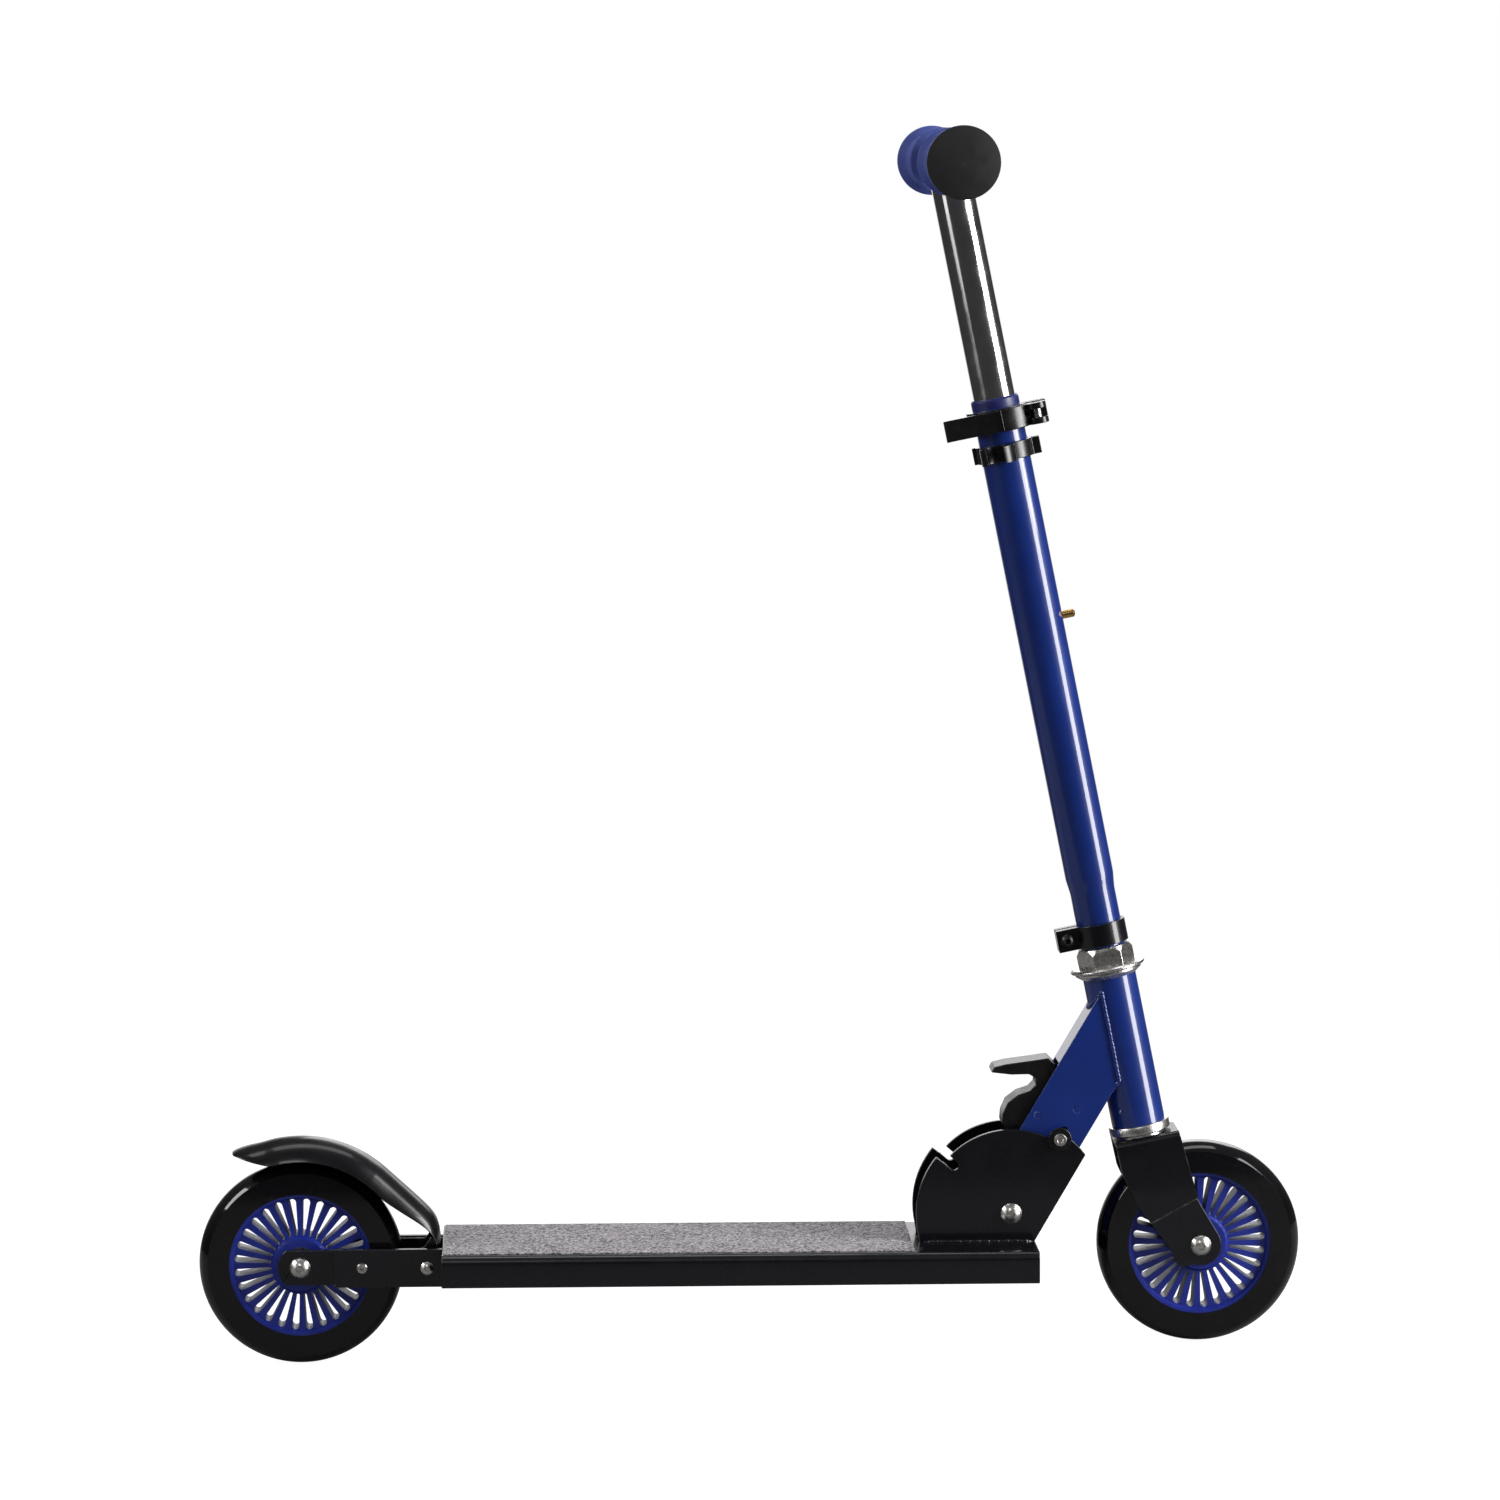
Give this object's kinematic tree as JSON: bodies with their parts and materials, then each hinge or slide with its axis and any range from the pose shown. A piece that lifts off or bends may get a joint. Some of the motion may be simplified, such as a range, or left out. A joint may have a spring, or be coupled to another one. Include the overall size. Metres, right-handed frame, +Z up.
{
  "type": "kick scooter",
  "caption": "Folding kick scooter with a flat deck, slotted wheels, a brake fender, a lever-released fold bracket and a clamped height-adjustable T-bar.",
  "frame": {"origin": "on the ground midway between the two wheels", "axes": "+X forward, +Y to the rider's left, +Z up"},
  "size_m": [0.65, 0.27, 0.7191],
  "materials": {
    "black_paint": "gloss black powder coat",
    "deck_coat": "gloss black powder coat",
    "grip_tape": "coarse abrasive grip tape",
    "chrome": "polished chrome plate",
    "zinc_steel": "zinc-plated steel",
    "spring_steel": "drawn spring wire",
    "black_steel": "black oxide",
    "blue_paint": "gloss navy enamel",
    "nylon": "natural nylon",
    "tyre": "gloss black cast polyurethane",
    "core_plastic": "moulded blue nylon",
    "black_plastic": "moulded black nylon",
    "navy_plastic": "moulded navy plastic",
    "grip_foam": "matte blue grip",
    "brass": "turned brass"
  },
  "bodies": {
    "deck_frame": {"deck": "deck_coat", "grip_tape": "grip_tape", "bracket_plate_left": "black_paint", "bracket_plate_right": "black_paint", "pivot_bolt": "chrome", "pivot_washers": "nylon", "frame_nuts": "zinc_steel", "tail_plates": "black_paint", "axle_plates": "black_paint", "tail_rivets": "chrome", "fender_bolt": "chrome", "fender_spring": "spring_steel", "rear_axle": "chrome", "rear_spacers": "zinc_steel"},
    "rear_wheel": {"rear_tyre": "tyre", "rear_core": "core_plastic", "rear_bearings": "zinc_steel"},
    "brake_fender": {"fender": "black_paint", "fender_sleeve": "zinc_steel"},
    "neck": {"neck_tube": "blue_paint", "head_tube": "blue_paint", "pivot_bush": "zinc_steel", "lower_cup": "chrome", "upper_cup": "chrome", "neck_pins": "blue_paint", "lock_spring": "spring_steel"},
    "release_lever": {"release_lever": "black_plastic", "lock_pin": "zinc_steel", "lock_washers": "black_plastic"},
    "steering": {"fork": "black_paint", "steerer": "zinc_steel", "crown_race": "chrome", "headset_balls": "zinc_steel", "top_race": "chrome", "locknut": "chrome", "column_tube": "blue_paint", "lower_clamp": "black_paint", "lower_clamp_screw": "black_steel", "column_bush": "navy_plastic", "top_clamp": "black_plastic", "top_clamp_bolt": "zinc_steel", "handle_clip": "black_plastic", "front_axle": "chrome", "front_axle_nut": "zinc_steel", "front_spacers": "zinc_steel"},
    "front_wheel": {"front_tyre": "tyre", "front_core": "core_plastic", "front_bearings": "zinc_steel"},
    "clamp_lever": {"clamp_lever": "black_plastic"},
    "snap_button": {"snap_button": "brass", "snap_spring": "spring_steel"},
    "t_bar": {"t_stem": "chrome", "stem_plug": "black_plastic"},
    "handle_left": {"handle_tube_left": "chrome", "grip_left": "grip_foam", "end_cap_left": "black_plastic"},
    "handle_right": {"handle_tube_right": "chrome", "grip_right": "grip_foam", "end_cap_right": "black_plastic"}
  },
  "joints": [
    {"name": "fold", "type": "hinge", "parent": "deck_frame", "child": "neck", "pos_m": [0.1532, 0, 0.0818], "axis": [0, 1, 0], "range_deg": [-79, 0]},
    {"name": "steer", "type": "hinge", "parent": "neck", "child": "steering", "pos_m": [0.2366, 0, 0.1], "axis": [-0.1822, 0, 0.9833], "range_deg": [-90, 90]},
    {"name": "bar_height", "type": "slide", "parent": "steering", "child": "t_bar", "axis": [-0.1822, 0, 0.9833], "range_m": [-0.1, 0]},
    {"name": "rear_spin", "type": "hinge", "parent": "deck_frame", "child": "rear_wheel", "pos_m": [-0.265, 0, 0.06], "axis": [0, 1, 0], "continuous": true},
    {"name": "front_spin", "type": "hinge", "parent": "steering", "child": "front_wheel", "pos_m": [0.265, 0, 0.06], "axis": [0, 1, 0], "continuous": true},
    {"name": "brake", "type": "hinge", "parent": "deck_frame", "child": "brake_fender", "pos_m": [-0.19061, 0, 0.05875], "axis": [0, -1, 0], "range_deg": [0, 9.3], "stiffness_Nm_per_rad": 0.4, "springref_deg": -34.38},
    {"name": "lever_press", "type": "hinge", "parent": "neck", "child": "release_lever", "pos_m": [0.17, 0, 0.139], "axis": [0, -1, 0], "range_deg": [0, 13], "stiffness_Nm_per_rad": 0.2, "springref_deg": -17.19, "deforming": ["lock_spring"]},
    {"name": "clamp_open", "type": "hinge", "parent": "steering", "child": "clamp_lever", "pos_m": [0.17517, -0.012, 0.55218], "axis": [-0.1822, 0, 0.9833], "range_deg": [0, 110]},
    {"name": "button_press", "type": "slide", "parent": "steering", "child": "snap_button", "axis": [-0.9833, 0, -0.1822], "range_m": [0, 0.0045], "stiffness_N_per_m": 600, "springref_m": -0.004, "deforming": ["snap_spring"]},
    {"name": "handle_left_pull", "type": "slide", "parent": "t_bar", "child": "handle_left", "axis": [0, 1, 0], "range_m": [0, 0.024]},
    {"name": "handle_right_pull", "type": "slide", "parent": "t_bar", "child": "handle_right", "axis": [0, -1, 0], "range_m": [0, 0.024]}
  ]
}
